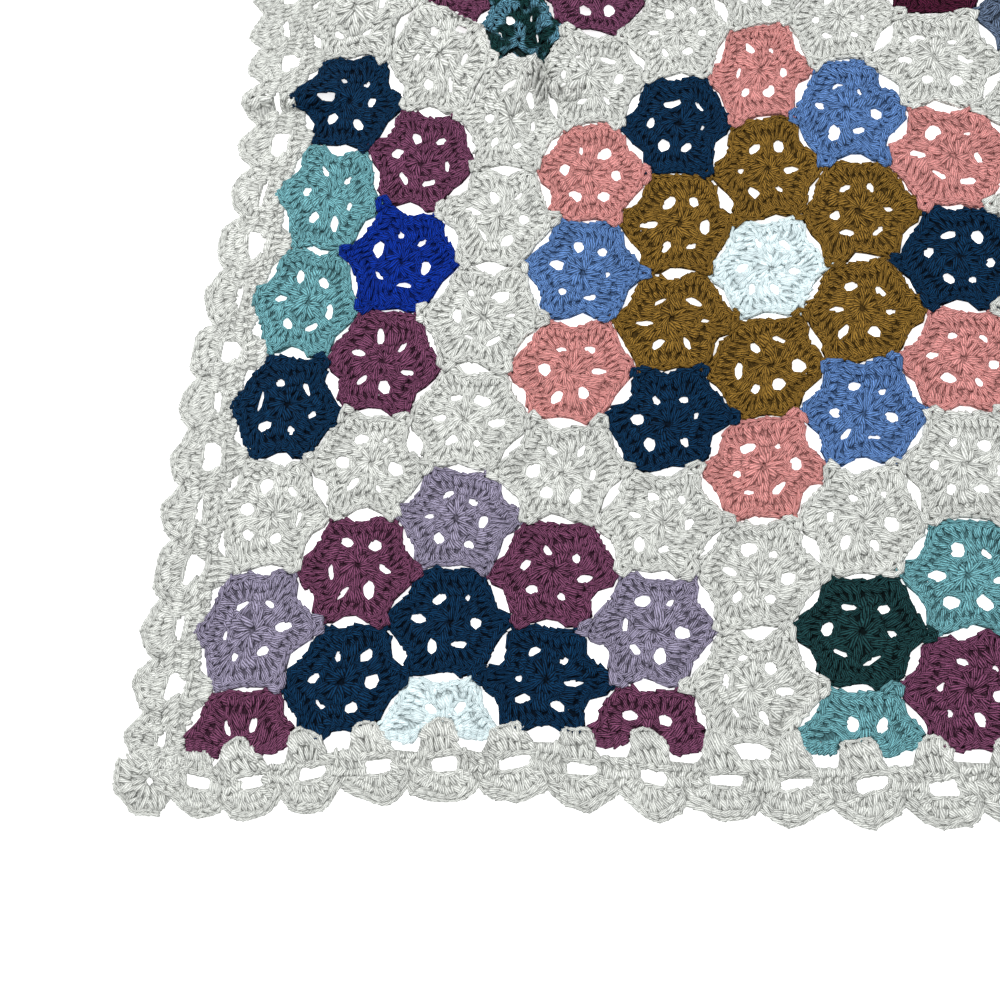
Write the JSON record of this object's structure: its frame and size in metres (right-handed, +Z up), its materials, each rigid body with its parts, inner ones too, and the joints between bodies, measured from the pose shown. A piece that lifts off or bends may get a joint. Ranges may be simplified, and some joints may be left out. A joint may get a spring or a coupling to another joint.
{
  "type": "crocheted blanket of joined hexagon motifs",
  "caption": "Flat crocheted lap blanket of joined hexagon granny motifs in a flower layout, with a scalloped edging and soft folds at one corner.",
  "frame": {"origin": "on the surface, under the middle of the blanket's overall extents", "axes": "+Z up from the surface, +X along the long side to the right, +Y away from the near side"},
  "size_m": [0.867, 0.8352, 0.0272],
  "materials": {
    "motif_yarn": "matte crocheted cotton yarn, motifs in off-white and flower colours",
    "edging_yarn": "matte crocheted cotton yarn, oatmeal off-white"
  },
  "bodies": {
    "root": {"joined_motifs": "motif_yarn", "scalloped_edging": "edging_yarn"}
  },
  "joints": []
}
